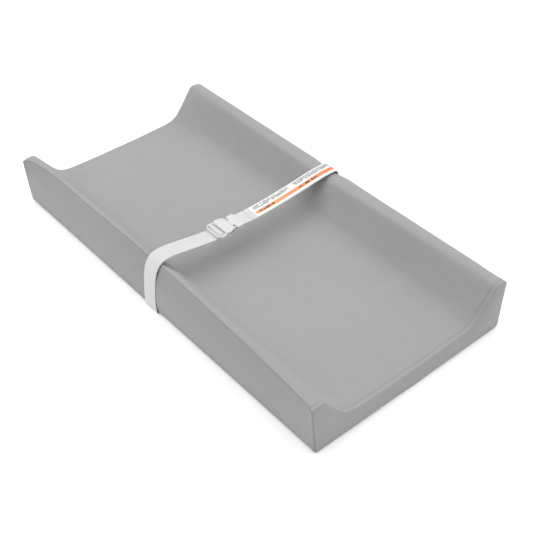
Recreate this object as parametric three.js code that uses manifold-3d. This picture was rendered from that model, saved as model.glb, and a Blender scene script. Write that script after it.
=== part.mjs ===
// Contoured changing pad: two-rail foam pad in a sewn cover, with a waist strap and a side-release buckle.
// Millimetres. +X runs along the length towards the foot end, +Y across towards the plug side of the strap, +Z up.
// The origin is the middle of the underside.
import * as THREE from "three";
import { mergeVertices } from "three/addons/utils/BufferGeometryUtils.js";
import Module from "manifold-3d";

const wasm = await Module();
wasm.setup();

// ---------------------------------------------------------------- driving dimensions
const LENGTH = 813;            // overall length
const RAIL_TOP = 100.5;        // height of the two side rails
const VALLEY = 36.5;           // height of the lying surface at the middle
const SIDE_TOP_Y = 209.5;      // half width at the top seam
const SIDE_BOTTOM_Y = 204.2;   // half width above the rounded bottom edge
const EDGE_R = 10;             // rounded bottom edge
const COVER_T = 1.2;           // cover fabric
const LINER_T = 0.6;           // waterproof liner
const GAP = 0.3;               // clearance between sewn layers
const BASE_T = 2.6;            // quilted base fabric
const STACK_Z = 6.6;           // underside of the foam: base fabric, zip and liner lie below it
const SLAB_TOP = 36.8;         // glue line between slab and rails
const ZIP_GAP = 17;            // opening between the two base panels
const ZIP_LEN = 700;           // zip along the underside
const STRAP_X = -3;            // centre of the strap along the length
const STRAP_W = 32;            // webbing width
const STRAP_T = 1.6;           // webbing thickness
const LABEL_W = 30;            // sewn label ribbon on the strap
const LABEL_T = 0.4;
const BUCKLE_Z = 94.5;         // mid height of the buckle
const SOCKET_HW = 22.5;        // buckle half width at its ears
const SOCKET_HT = 5.5;         // buckle half thickness
const PRONG_PIVOT_U = -30.5;   // root of the two prongs
const PRONG_PIVOT_V = 12.5;
const PRONG_LEN = 0.86;         // prong outline scale along the strap

// ---------------------------------------------------------------- materials
const mat = (hex, rough, metal = 0) => new THREE.MeshStandardMaterial({ color: hex, roughness: rough, metalness: metal });
const COVER = 0xadadab, LINER = 0xe6e8ea, FOAM = 0xefe9d6, BASE = 0x8f8f8f, WEB = 0xebebe9, PLASTIC = 0xf1f1ef;

// ---------------------------------------------------------------- helpers
const basisYZ = new THREE.Matrix4().makeBasis(new THREE.Vector3(0, 1, 0), new THREE.Vector3(0, 0, 1), new THREE.Vector3(1, 0, 0));
const basisZX = new THREE.Matrix4().makeBasis(new THREE.Vector3(0, 0, 1), new THREE.Vector3(1, 0, 0), new THREE.Vector3(0, 1, 0));

function shapeOf(points) {
  const s = new THREE.Shape();
  points.forEach(([a, b], i) => (i ? s.lineTo(a, b) : s.moveTo(a, b)));
  s.closePath();
  return s;
}
// closed outline in (Y, Z), pushed along X from x0 to x1
function alongX(points, x0, x1) {
  const g = new THREE.ExtrudeGeometry(shapeOf(points), { depth: x1 - x0, bevelEnabled: false, steps: 1 });
  g.applyMatrix4(basisYZ);
  g.translate(x0, 0, 0);
  return g;
}
// closed outlines in (Y, Z), one at each station x, with the same number of points, skinned into one body; a band's
// inner line runs back the other way, so its quads are split along the other diagonal and nested skins stay parallel
function loft(xs, outlineAtX, isBand = true) {
  const rings = xs.map((x) => ccw(outlineAtX(x)));
  const n = rings[0].length, position = [], index = [];
  rings.forEach((ring, i) => ring.forEach(([y, z]) => position.push(xs[i], y, z)));
  for (let i = 0; i < xs.length - 1; i++)
    for (let j = 0; j < n; j++) {
      const a = i * n + j, b = i * n + ((j + 1) % n);
      if (isBand && j >= n / 2) index.push(a, b, a + n, b, b + n, a + n);
      else index.push(a, b, b + n, a, b + n, a + n);
    }
  const cap = (ring, base, flip) =>
    THREE.ShapeUtils.triangulateShape(ring.map(([y, z]) => new THREE.Vector2(y, z)), []).forEach(([a, b, c]) =>
      flip ? index.push(base + a, base + c, base + b) : index.push(base + a, base + b, base + c));
  cap(rings[0], 0, true);
  cap(rings[xs.length - 1], (xs.length - 1) * n, false);
  const g = new THREE.BufferGeometry();
  g.setAttribute("position", new THREE.BufferAttribute(new Float32Array(position), 3));
  g.setIndex(index);
  g.computeVertexNormals();
  return g;
}
// closed outline in (Z, X), pushed along Y
function alongY(points, y0, y1) {
  const g = new THREE.ExtrudeGeometry(shapeOf(points), { depth: y1 - y0, bevelEnabled: false, steps: 1 });
  g.applyMatrix4(basisZX);
  g.translate(0, y0, 0);
  return g;
}
// closed outline in (X, Y), pushed along Z, with an optional chamfer
function alongZ(points, z0, z1, chamfer = 0) {
  const g = new THREE.ExtrudeGeometry(shapeOf(points), chamfer
    ? { depth: z1 - z0 - 2 * chamfer, bevelEnabled: true, bevelSegments: 1, bevelThickness: chamfer, bevelSize: chamfer, bevelOffset: -chamfer }
    : { depth: z1 - z0, bevelEnabled: false });
  g.translate(0, 0, z0 + chamfer);
  return g;
}
function boxGeo(x0, x1, y0, y1, z0, z1) {
  const g = new THREE.BoxGeometry(x1 - x0, y1 - y0, z1 - z0);
  g.translate((x0 + x1) / 2, (y0 + y1) / 2, (z0 + z1) / 2);
  return g;
}
function solid(geometry) {
  let g = geometry.clone();
  for (const name of Object.keys(g.attributes)) if (name !== "position") g.deleteAttribute(name);
  g = mergeVertices(g, 1e-4);
  return new wasm.Manifold(new wasm.Mesh({
    numProp: 3,
    vertProperties: new Float32Array(g.attributes.position.array),
    triVerts: new Uint32Array(g.index.array),
  }));
}
function geometryOf(manifold) {
  const m = manifold.getMesh();
  const g = new THREE.BufferGeometry();
  g.setAttribute("position", new THREE.BufferAttribute(new Float32Array(m.vertProperties), 3));
  g.setIndex(new THREE.BufferAttribute(new Uint32Array(m.triVerts), 1));
  g.computeVertexNormals();
  return g;
}
const cut = (a, ...tools) => tools.reduce((m, t) => m.subtract(solid(t)), a instanceof THREE.BufferGeometry ? solid(a) : a);
const join = (a, ...tools) => tools.reduce((m, t) => m.add(solid(t)), a instanceof THREE.BufferGeometry ? solid(a) : a);
const keep = (a, t) => (a instanceof THREE.BufferGeometry ? solid(a) : a).intersect(solid(t));

// points of an open line moved sideways by d (to the left of its direction), mitred
function offset(line, d) {
  return line.map((p, i) => {
    const a = line[Math.max(i - 1, 0)], b = line[Math.min(i + 1, line.length - 1)];
    const n1 = i ? unitNormal(a, p) : null, n2 = i < line.length - 1 ? unitNormal(p, b) : null;
    if (!n1) return [p[0] + n2[0] * d, p[1] + n2[1] * d];
    if (!n2) return [p[0] + n1[0] * d, p[1] + n1[1] * d];
    const k = 1 + n1[0] * n2[0] + n1[1] * n2[1];
    return [p[0] + ((n1[0] + n2[0]) / k) * d, p[1] + ((n1[1] + n2[1]) / k) * d];
  });
}
function unitNormal(a, b) {
  const dx = b[0] - a[0], dy = b[1] - a[1], l = Math.hypot(dx, dy);
  return [-dy / l, dx / l];
}
const band = (line, d0, d1) => [...offset(line, d0), ...offset(line, d1).reverse()];
// keep outlines counter-clockwise
function ccw(points) {
  let area = 0;
  points.forEach((p, i) => { const q = points[(i + 1) % points.length]; area += p[0] * q[1] - q[0] * p[1]; });
  return area < 0 ? points.slice().reverse() : points;
}
function smooth(points, n) {
  const curve = new THREE.CatmullRomCurve3(points.map(([a, b]) => new THREE.Vector3(a, b, 0)), false, "centripetal");
  return curve.getSpacedPoints(n).map((v) => [v.x, v.y]);
}
const mirrorY = (points) => points.map(([y, z]) => [-y, z]).reverse();

const pad = new THREE.Group();
function node(name, geometry, material) {
  const g = geometry instanceof THREE.BufferGeometry ? geometry : geometryOf(geometry);
  const m = new THREE.Mesh(g, material);
  m.name = name;
  pad.add(m);
  return m;
}

// ---------------------------------------------------------------- cross-section of the cover's outer surface
const arcEdge = [];
for (let i = 0; i <= 5; i++) {
  const a = (-90 + (90 * i) / 5) * (Math.PI / 180);
  arcEdge.push([SIDE_BOTTOM_Y - EDGE_R + EDGE_R * Math.cos(a), EDGE_R + EDGE_R * Math.sin(a)]);
}
// wall and rail points: [free shape, shape under the near webbing, shape under the far webbing]; the tight strap dents the rails
const SEAM_Z = RAIL_TOP - 6;
const X1 = LENGTH / 2;
const farFree = [
  [205.3, 27], [206.4, 44], [207.4, 60], [208.4, 76], [209.1, 87], [SIDE_TOP_Y, SEAM_Z], [206, RAIL_TOP - 3.5], [200, RAIL_TOP - 1.3],
  [192, RAIL_TOP], [186, RAIL_TOP - 0.2], [182, RAIL_TOP - 2.3], [178.5, RAIL_TOP - 6],
];
const farStrap = [
  [205.1, 27], [205.6, 44], [206.2, 60], [206.6, 76], [206.9, 86.5], [206.6, SEAM_Z - 0.9], [204.6, RAIL_TOP - 3.7], [200, RAIL_TOP - 1.3],
  [192, RAIL_TOP - 0.2], [186, RAIL_TOP - 0.4], [182, RAIL_TOP - 2.4], [178.5, RAIL_TOP - 6],
];
// the near rail is drawn inwards by the strap over most of its length; its seam follows [x, y] here
const NEAR_SEAM = [
  [-406.5, SIDE_TOP_Y], [-392, 197.5], [-355, 192.3], [-320, 189.5], [-180, 189.4], [-75, 187.6], [40, 187.6], [95, 189.2], [155, 192],
  [215, 194.4], [275, 197.4], [335, 201], [392, 204.8], [406.5, SIDE_TOP_Y],
];
const nearSeamY = (x) => {
  const i = Math.max(1, NEAR_SEAM.findIndex((p) => p[0] >= x)), [x0, y0] = NEAR_SEAM[i - 1], [x1, y1] = NEAR_SEAM[i];
  return y0 + ((y1 - y0) * (x - x0)) / (x1 - x0);
};
const nearWide = [[199, RAIL_TOP - 0.2], [192.5, RAIL_TOP], [186, RAIL_TOP - 0.3], [181.5, RAIL_TOP - 2.9], [178.5, RAIL_TOP - 6.2], [175, RAIL_TOP - 10.7]];
const nearTight = [[184.8, RAIL_TOP - 0.4], [182, RAIL_TOP - 1.9], [180, RAIL_TOP - 4.1], [178, RAIL_TOP - 6.6], [175.8, RAIL_TOP - 9.5], [173.5, RAIL_TOP - 12.5]];
const nearFree = (x) => {
  const y = nearSeamY(x), lean = SIDE_TOP_Y - y, m = Math.min(1, Math.max(0, (204.5 - y) / 17));
  const wallPart = farFree.slice(0, 5).map(([fy, z]) => [fy - lean * ((z - 10) / 90) ** 3, z]);
  const over = Math.max(0, y - 204.5);
  return [...wallPart, [y, RAIL_TOP - 0.8 - 0.5 * over], ...nearWide.map(([wy, wz], k) => [
    wy + (nearTight[k][0] - wy) * m + (k ? 0 : over * 0.6), wz + (nearTight[k][1] - wz) * m]).map(([py, pz], k) => [py, k ? pz : pz - 0.1 * over])];
};
const nearStrap = [
  [204.9, 27], [203.9, 44], [202.2, 59.5], [199.6, 75.5], [195.6, 87], [187.6, 99.4], [184.8, 100.0], [182, 98.5], [180, 96.3], [178, 93.8],
  [175.8, 90.9], [173.5, 87.9],
];
const SEAM_I = 5;
const valley = [[171, 84.5], [161, 71], [150, 57], [141, 47.5], [131, 42], [118, 39], [90, 37.6], [50, VALLEY + 0.2]];
const strapPull = (x) => {                    // 1 under the webbing, fading out along the rail
  const d = Math.abs(x - STRAP_X) - (STRAP_W / 2 + 1.2);
  return d <= 0 ? 1 : d >= 28 ? 0 : 0.5 + 0.5 * Math.cos((Math.PI * d) / 28);
};
const half = (x, side) => {
  const from = side > 0 ? farFree : nearFree(Math.min(X1, Math.max(-X1, x))), to = side > 0 ? farStrap : nearStrap, w = strapPull(x);
  return from.map((p, i) => [p[0] + (to[i][0] - p[0]) * w, p[1] + (to[i][1] - p[1]) * w]);
};
const wallAt = (x, side) => [...arcEdge, ...half(x, side).slice(0, SEAM_I + 1)];
const railAt = (x, side) => [...half(x, side).slice(SEAM_I), ...valley];
const topAt = (x) => [...railAt(x, 1), [0, VALLEY], ...mirrorY(railAt(x, -1))];   // far seam to near seam
const STRAP_STATIONS = [-46.2, -38, -30, -23, -17.2, 17.2, 23, 30, 38, 46.2].map((d) => STRAP_X + d);
const wall = wallAt(-1000, 1);
const SEAM = wall[wall.length - 1];
const XC = X1 - COVER_T - GAP;                // cover panels end here, inside the end panels
const XL = XC - GAP;                          // liner end panels
const XF = XL - LINER_T - GAP;                // foam and liner end here
const stations = (end) => [-end, -388, -352, -320, -180, ...STRAP_STATIONS, 95, 155, 215, 275, 335, 390, end];

// ---------------------------------------------------------------- cover
const strapX0 = STRAP_X - STRAP_W / 2 - 1.2, strapX1 = STRAP_X + STRAP_W / 2 + 1.2;
const strapNotch = (s) => boxGeo(strapX0, strapX1, s > 0 ? 150 : -215, s > 0 ? 215 : -150, -1, 2.2);
// the fabric as one loop from the far bottom edge over the top to the near bottom edge, split at the two seams
const NW = arcEdge.length + SEAM_I;           // index of the far seam in that loop
const fullLoop = (x) => [...wallAt(x, 1), ...topAt(x).slice(1, -1), ...mirrorY(wallAt(x, -1))];
function piece(x, first, last) {              // band between two loop points; negative counts from the end
  const loop = fullLoop(x), n = loop.length - 1;
  const i0 = first < 0 ? n + 1 + first : first, i1 = last < 0 ? n + 1 + last : last;
  const trim = (line) => {                    // back off half the seam gap at each cut end
    const out = line.slice(i0, i1 + 1), m = out.length - 1;
    const towards = (p, q, d) => { const l = Math.hypot(q[0] - p[0], q[1] - p[1]); return [p[0] + ((q[0] - p[0]) * d) / l, p[1] + ((q[1] - p[1]) * d) / l]; };
    const a = towards(out[0], out[1], 0.22), b = towards(out[m], out[m - 1], 0.22);
    if (i0 > 0) out[0] = a;
    if (i1 < n) out[m] = b;
    return out;
  };
  return [...trim(loop), ...trim(offset(loop, COVER_T)).reverse()];
}
node("cover_top_panel", loft(stations(XC), (x) => piece(x, NW, -1 - NW)), mat(COVER, 0.95));
node("cover_side_far", cut(loft(stations(XC), (x) => piece(x, 0, NW)), strapNotch(1)), mat(COVER, 0.95));
node("cover_side_near", cut(loft(stations(XC), (x) => piece(x, -1 - NW, -1)), strapNotch(-1)), mat(COVER, 0.95));
function outlineAt(d, x) {
  // whole cover outline at one end, shrunk by d
  const line = offset(fullLoop(x), d);
  line[0][1] = d; line[line.length - 1][1] = d;
  return ccw(line);
}
node("cover_end_foot", alongX(outlineAt(0, X1), X1 - COVER_T, X1), mat(COVER, 0.95));
node("cover_end_head", alongX(outlineAt(0, -X1), -X1, -X1 + COVER_T), mat(COVER, 0.95));
// base panels, one each side of the zip
const baseY1 = SIDE_BOTTOM_Y - EDGE_R - GAP;
const tagPocket = boxGeo(250, 312, 60, 102, -1, 1.0);
const baseFar = cut(boxGeo(-XC, XC, ZIP_GAP / 2, baseY1, 0, BASE_T), strapNotch(1), tagPocket);
const baseNear = cut(boxGeo(-XC, XC, -baseY1, -ZIP_GAP / 2, 0, BASE_T), strapNotch(-1));
node("cover_base_far", baseFar, mat(BASE, 0.9));
node("cover_base_near", baseNear, mat(BASE, 0.9));
node("care_label", boxGeo(251, 311, 61, 101, 0.35, 0.65), mat(0xf4f4f4, 0.8));
// fabric squares that back the sewn strap ends, inside the base
for (const [s, name] of [[-1, "strap_patch_near"], [1, "strap_patch_far"]])
  node(name, boxGeo(STRAP_X - 24, STRAP_X + 24, s > 0 ? 150 : -192, s > 0 ? 192 : -150, BASE_T + GAP, BASE_T + GAP + 0.7), mat(BASE, 0.9));

// ---------------------------------------------------------------- zip along the middle of the underside
const ZX = ZIP_LEN / 2, TAPE_Z = 3.45;
for (const [s, side] of [[-1, "near"], [1, "far"]]) {
  const lo = (a, b) => (s > 0 ? [a, b] : [-b, -a]);
  const [t0, t1] = lo(2.9, 16);
  node(`zip_tape_${side}`, boxGeo(-ZX, ZX, t0, t1, TAPE_Z - 0.3, TAPE_Z + 0.3), mat(0x9a9a9a, 0.9));
  const [c0, c1] = lo(0.8, 2.6);
  node(`zip_coil_${side}`, alongX(ccw([[c0, 2.9], [c0, 4.1], [(c0 + c1) / 2, 4.35], [c1, 4.1], [c1, 2.9], [(c0 + c1) / 2, 2.65]]), -ZX + 6, ZX - 6), mat(0xa4a4a2, 0.6));
}
node("zip_stop_head", boxGeo(-ZX - 1, -ZX + 4, -2.4, 2.4, 2.6, 4.4), mat(0xb9bbbd, 0.35, 0.9));
node("zip_stop_foot", boxGeo(ZX - 4, ZX + 1, -2.4, 2.4, 2.6, 4.4), mat(0xb9bbbd, 0.35, 0.9));
// slider: two plates round the coils, joined by a web between them, and a lug under it for the pull
const SX = -ZX + 8, SL = 11;
const slider = join(
  boxGeo(SX, SX + SL, -4.2, 4.2, 4.65, 5.35),
  boxGeo(SX, SX + SL, -4.2, 4.2, 1.65, 2.35),
  boxGeo(SX + 0.6, SX + SL - 0.6, -0.5, 0.5, 2.2, 4.8),
);
const lug = cut(boxGeo(SX + 3.6, SX + 7.4, -1.6, 1.6, 0.35, 1.8), boxGeo(SX + 4.3, SX + 6.7, -2, 2, 0.95, 1.65));
node("zip_slider", slider.add(lug), mat(0xb9bbbd, 0.35, 0.9));
// pull tab: a flat tab with a window, whose cross bar passes through the lug
const PULL_X = SX + 5.5, PULL_Z = 1.3;
const bar = new THREE.CylinderGeometry(0.3, 0.3, 6.8, 12);
bar.translate(PULL_X, 0, PULL_Z);
const pull = join(
  cut(
    boxGeo(PULL_X, PULL_X + 24, -3.4, 3.4, PULL_Z - 0.3, PULL_Z + 0.3),
    boxGeo(PULL_X - 1, PULL_X + 5, -2.2, 2.2, 0, 3),
  ),
  bar,
);
node("zip_pull_tab", pull, mat(0xb9bbbd, 0.35, 0.9));

// ---------------------------------------------------------------- waterproof liner
const LZ = STACK_Z - GAP - LINER_T;
const linerOut = COVER_T + GAP, linerIn = COVER_T + GAP + LINER_T;
const linerBand = (x) => {
  const loop = [...wallAt(x, 1).slice(2), ...topAt(x).slice(1, -1), ...mirrorY(wallAt(x, -1).slice(2))];
  return [...offset(loop, linerOut), ...offset(loop, linerIn).reverse()];
};
const linerTop = keep(loft(stations(XF), linerBand), boxGeo(-500, 500, -300, 300, STACK_Z, 200));
node("liner_top", linerTop, mat(LINER, 0.5));
const linerBottomHalf = offset(wall, linerOut).find((p) => p[1] > LZ)[0] - 3.2;
node("liner_bottom", boxGeo(-XF, XF, -linerBottomHalf, linerBottomHalf, LZ, LZ + LINER_T), mat(LINER, 0.5));
const linerEnd = keep(alongX(outlineAt(linerOut, XL), XL - LINER_T, XL), boxGeo(0, 500, -300, 300, LZ, 200));
const linerEndHead = keep(alongX(outlineAt(linerOut, -XL), -XL, -XL + LINER_T), boxGeo(-500, 0, -300, 300, LZ, 200));
node("liner_end_foot", linerEnd, mat(LINER, 0.5));
node("liner_end_head", linerEndHead, mat(LINER, 0.5));

// ---------------------------------------------------------------- foam
const foam = keep(alongX(outlineAt(linerIn + GAP, STRAP_X), -XF, XF), boxGeo(-500, 500, -300, 300, STACK_Z + 0.05, 200));
const TOE = 125;
const slab = foam.intersect(solid(boxGeo(-500, 500, -201.5, 201.5, 0, SLAB_TOP)).add(solid(boxGeo(-500, 500, -TOE + GAP, TOE - GAP, 0, 60))));
node("foam_slab", slab, mat(FOAM, 1));
// rails: from the toe on the slab, over the crest and down the outer wall to the glue line
const railOutline = (x, side) => {
  const loop = offset([...wallAt(x, side), ...railAt(x, side).slice(1)], linerIn + GAP);
  const z0 = SLAB_TOP + GAP, first = arcEdge.length + 1;                       // first wall point above the glue line
  const a = loop[first - 1], b = loop[first], f = (z0 - a[1]) / (b[1] - a[1]);
  const inner = loop.slice(first, loop.length - 3);                             // stops before the valley flattens
  const p = loop[loop.length - 4], q = loop[loop.length - 3], g = (p[0] - TOE) / (p[0] - q[0]);
  return [[a[0] + (b[0] - a[0]) * f, z0], ...inner, [TOE, p[1] + (q[1] - p[1]) * g], [TOE, z0]];
};
node("foam_rail_far", loft(stations(XF), (x) => railOutline(x, 1), false), mat(FOAM, 1));
node("foam_rail_near", loft(stations(XF), (x) => mirrorY(railOutline(x, -1)), false), mat(FOAM, 1));

// ---------------------------------------------------------------- strap webbing, as centre lines in (Y, Z)
const bz = (w) => BUCKLE_Z + w;
const hem = [[160, 1.15], [194, 1.15], [199.6, 1.15], [202.6, 1.9], [204.9, 4.4], [206.1, 10]];
const sideRun = [ // far side: sewn end under the base, round the bottom edge, up the side, over the rail
  ...hem, [206.7, 27], [207.3, 44], [207.9, 60], [208.3, 76], [208.5, 86], [208.2, 93], [206.9, 98.2], [203.8, 102.3], [199, 104],
  [192, 104.4], [186, 104.5],
];
const nearSide = [ // near side: drawn tight, so it cuts in over the rail and arches off it
  ...hem, [206.3, 27], [205.5, 42], [204, 57], [202.7, 68], [201, 78], [198.3, 88], [194.2, 96.5], [188.6, 102.8], [181.5, 106.6],
];
const nearAir = [[-173, 108.1], [-162, 107.7], [-150, 105.9], [-139, 103.8], [-125, 101.2], [-112, 98.8], [-98, 96.2], [-88, 94.4], [-79, 93.1]];
const ladder = [ // under the end bar, up through the outer slot, over the middle bar, down, and back as the tail
  [-73.5, bz(-2.25)], [-68.2, bz(-2.3)], [-66.1, bz(-1.7)], [-64.9, bz(0)], [-64.2, bz(1.8)], [-62.6, bz(3.0)], [-60, bz(3.25)],
  [-57.5, bz(2.9)], [-56.1, bz(1.5)], [-55.65, bz(-0.6)], [-56, bz(-2.6)], [-57.6, bz(-4.2)], [-60, bz(-4.7)], [-67, bz(-4.85)],
  [-74, bz(-4.75)], [-82, bz(-3.9)], [-92, bz(-2.4)], [-104, bz(-0.4)],
];
const nearLine = [...mirrorY(nearSide).reverse(), ...nearAir, ...ladder];
const strapGeo = (line) => alongX(ccw(band(line, -STRAP_T / 2, STRAP_T / 2)), STRAP_X - STRAP_W / 2, STRAP_X + STRAP_W / 2);
node("strap_near_run", strapGeo(nearLine), mat(WEB, 0.9));
node("strap_far_side", strapGeo(sideRun), mat(WEB, 0.9));
// the plug's sewn loop, and the run in the air to the far rail
const airTop = [[8.4, 93.4], [30, 93.2], [55, 94.2], [80, 95.8], [105, 97.8], [130, 100.2], [150, 102.4], [168, 104], [178, 104.6], [185.6, 104.55]];
const farAir = [airTop[0], ...smooth(airTop, 16).slice(1, -1), airTop[airTop.length - 1]];
node("strap_far_run", strapGeo(farAir), mat(WEB, 0.9));
const loopLine = [
  [8, 93.4], [-6, 94.1], [-11, bz(0.3)], [-14, bz(0.7)], [-17, bz(0.75)], [-18.6, bz(0.1)], [-19.3, bz(-1.6)], [-18.7, bz(-3.2)],
  [-17, bz(-3.95)], [-14.5, bz(-4)], [-11, bz(-3.8)], [-6, bz(-3.3)], [8, bz(-3.3)],
];
node("strap_far_loop", strapGeo(loopLine), mat(WEB, 0.9));
// label ribbon sewn on top of the far webbing
function labelPath() {
  const air = farAir.slice(1), side = sideRun.slice(11).reverse();
  return offset([[9.6, 93.38], ...air, ...side], STRAP_T / 2 + GAP + LABEL_T / 2);
}
node("label_ribbon", alongX(ccw(band(labelPath(), -LABEL_T / 2, LABEL_T / 2)), STRAP_X - LABEL_W / 2, STRAP_X + LABEL_W / 2), mat(0xf6f6f6, 0.7));

// ---------------------------------------------------------------- buckle; plan outlines in (v across, u along the strap)
const plan = (half) => { // half outline given as [u, v] from one end to the other, mirrored over v = 0
  const right = half.map(([u, v]) => [STRAP_X + v, u]);
  const left = half.map(([u, v]) => [STRAP_X - v, u]).reverse();
  return ccw([...right, ...left]);
};
const B = (v0, v1, u0, u1, w0, w1) => boxGeo(STRAP_X + v0, STRAP_X + v1, u0, u1, bz(w0), bz(w1));
const boxPart = plan([[-54.2, 18.5], [-53, 20.6], [-50, SOCKET_HW - 0.9], [-46.5, SOCKET_HW - 0.6], [-43.5, SOCKET_HW - 1.4], [-40, 19.8], [-37, 18.4], [-34.5, 18.2], [-33.5, 17.2]]);
const ladderPart = plan([[-70.6, 15.6], [-70, 16.8], [-67.6, 18.6], [-66.2, 20.4], [-63.8, SOCKET_HW - 0.6], [-60, SOCKET_HW], [-53.8, SOCKET_HW - 1.6], [-53.2, 18]]);
let socket = solid(alongZ(boxPart, bz(-SOCKET_HT), bz(SOCKET_HT), 1.2));
socket = socket.add(solid(alongZ(ladderPart, bz(-3.4), bz(3.4), 0.8)));
socket = cut(socket,
  B(-17, 17, -67.6, -62, -9, 9),                       // outer slot
  B(-17, 17, -58, -54.2, -9, 9),                       // inner slot
  B(-17, 17, -72, -67, -9, -1.2),                      // room under the end bar for the webbing
  B(-17, 17, -62.5, -57.5, -9, -2),                    // room under the middle bar
  B(-17, 17, -62.5, -57.5, 1.9, 9),                    // room over the middle bar
  B(-15.8, 15.8, -51.5, -20, -3.3, 3.3),               // cavity, open at the mouth
  B(-30, 30, -48, -37, -3.3, 3.3),                     // side windows
);
node("buckle_socket", socket, mat(PLASTIC, 0.3));

const plugOutline = plan([[-32.5, 8.5], [-28, 8.7], [-28, 16.6], [-26.2, 18], [-18, 18.3], [-14.4, 18], [-12.6, 16.2]]);
let plug = solid(alongZ(plugOutline, bz(-3.9), bz(3.9), 0.7));
plug = cut(plug, B(-16.5, 16.5, -21.4, -10, -9, 1.9));                         // room under the top plate for the webbing
plug = plug.add(solid(B(-17.2, 17.2, -17.4, -14.8, -2.7, -0.5)));               // bar that the webbing is sewn round
plug = plug.add(solid(B(-8.2, 8.2, -34, -31, -2.6, 2.6))).add(solid(B(-2.6, 2.6, -48.5, -33, -2.4, 2.4)));
node("buckle_plug", plug, mat(PLASTIC, 0.3));

function prong(side) {
  const body = [
    [-28.2, 14.6], [-34.6, 14.9], [-35.4, 15.2], [-38.2, 16.6], [-41, 18.0], [-42.6, 18.2], [-45, 17.4], [-47.6, 15.4], [-49.4, 13.0],
    [-48.9, 11.8], [-47.4, 11.7], [-44, 12.5], [-40, 12.7], [-35, 12.0], [-29.6, 10.7], [-28.4, 10.6], [-26.6, 10.7], [-25.7, 11.6], [-25.45, 12.6],
    [-25.8, 13.6], [-26.7, 14.4],
  ];
  const pts = body.map(([u, v]) => [STRAP_X + side * v, PRONG_PIVOT_U + (u + 27.5) * (u < -27.5 ? PRONG_LEN : 1)]);
  return alongZ(ccw(pts), bz(-2.6), bz(2.6), 0.5);
}
node("buckle_prong_foot", prong(1), mat(PLASTIC, 0.3));
node("buckle_prong_head", prong(-1), mat(PLASTIC, 0.3));

export default pad;
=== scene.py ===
import math
import bpy
import bmesh
import numpy as np
from mathutils import Vector, Matrix, noise


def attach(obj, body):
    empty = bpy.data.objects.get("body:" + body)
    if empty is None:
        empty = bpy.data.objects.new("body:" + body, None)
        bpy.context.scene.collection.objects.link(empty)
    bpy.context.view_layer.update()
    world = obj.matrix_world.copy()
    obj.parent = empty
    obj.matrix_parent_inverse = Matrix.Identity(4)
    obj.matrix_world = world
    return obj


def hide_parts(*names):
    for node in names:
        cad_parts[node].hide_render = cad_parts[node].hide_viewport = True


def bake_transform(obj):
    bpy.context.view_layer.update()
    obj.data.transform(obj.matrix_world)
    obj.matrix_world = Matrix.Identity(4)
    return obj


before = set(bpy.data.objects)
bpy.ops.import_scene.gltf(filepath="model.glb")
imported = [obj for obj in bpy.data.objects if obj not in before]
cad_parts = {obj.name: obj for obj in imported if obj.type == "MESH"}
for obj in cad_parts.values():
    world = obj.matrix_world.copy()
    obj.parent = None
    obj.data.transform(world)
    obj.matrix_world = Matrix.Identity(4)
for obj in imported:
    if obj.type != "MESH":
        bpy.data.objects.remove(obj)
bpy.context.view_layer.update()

MM = 0.001
scene = bpy.context.scene
scene.view_settings.view_transform = "Standard"
scene.view_settings.look = "None"

# ------------------------------------------------------------------ dimensions, millimetres, as in the part
X1 = 406.5
RAIL = 100.5
VALLEY = 36.5
SX_, SW, ST = -3.0, 32.0, 1.6
BZ = 94.5
ZX = 350.0


def bz(w):
    return BZ + w


# ------------------------------------------------------------------ camera, lights, floor
def look(az, el, roll):
    b = Vector((math.sin(az) * math.cos(el), -math.cos(az) * math.cos(el), math.sin(el)))
    f = -b
    r = f.cross(Vector((0, 0, 1))).normalized()
    u = r.cross(f)
    c, s = math.cos(roll), math.sin(roll)
    r2, u2 = c * r + s * u, -s * r + c * u
    return Matrix((r2, u2, -f)).transposed().to_4x4()


cam_data = bpy.data.cameras.new("camera")
cam_data.sensor_width = 36.0
cam_data.lens = 1012.3 * 36.0 / 533.0
cam_data.shift_x, cam_data.shift_y = -0.28 / 533.0, -0.92 / 533.0
cam_data.clip_start, cam_data.clip_end = 0.05, 50
cam = bpy.data.objects.new("camera", cam_data)
scene.collection.objects.link(cam)
cam.matrix_world = Matrix.Translation((1.0926, -0.8342, 1.187)) @ look(math.radians(51.19), math.radians(41.23), math.radians(-1.68))
scene.camera = cam

world = bpy.data.worlds.new("studio")
scene.world = world
world.use_nodes = True
wn = world.node_tree.nodes["Background"]
# a studio dome: bright overhead, darker towards the horizon, a little stronger on the far side
wt = world.node_tree
w_tc = wt.nodes.new("ShaderNodeTexCoord")
w_sep = wt.nodes.new("ShaderNodeSeparateXYZ")
wt.links.new(w_tc.outputs["Generated"], w_sep.inputs[0])
w_up = wt.nodes.new("ShaderNodeMath")
w_up.operation = "MULTIPLY_ADD"
w_up.use_clamp = True
w_up.inputs[1].default_value, w_up.inputs[2].default_value = 0.86, 0.14
wt.links.new(w_sep.outputs[2], w_up.inputs[0])
w_mix = wt.nodes.new("ShaderNodeMix")
w_mix.data_type = "RGBA"
w_mix.inputs[6].default_value, w_mix.inputs[7].default_value = (0.0, 0.0, 0.0, 1), (0.985, 0.995, 1.0, 1)
wt.links.new(w_up.outputs[0], w_mix.inputs[0])
wt.links.new(w_mix.outputs[2], wn.inputs[0])
wn.inputs[1].default_value = 1.20


def area_light(name, loc, target, size, power, color=(1, 1, 1)):
    d = bpy.data.lights.new(name, "AREA")
    d.shape = "RECTANGLE"
    d.size, d.size_y = size
    d.energy = power
    d.color = color
    o = bpy.data.objects.new(name, d)
    scene.collection.objects.link(o)
    o.location = loc
    o.rotation_mode = "QUATERNION"
    o.rotation_quaternion = (Vector(target) - Vector(loc)).to_track_quat("-Z", "Y")
    return o


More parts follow.
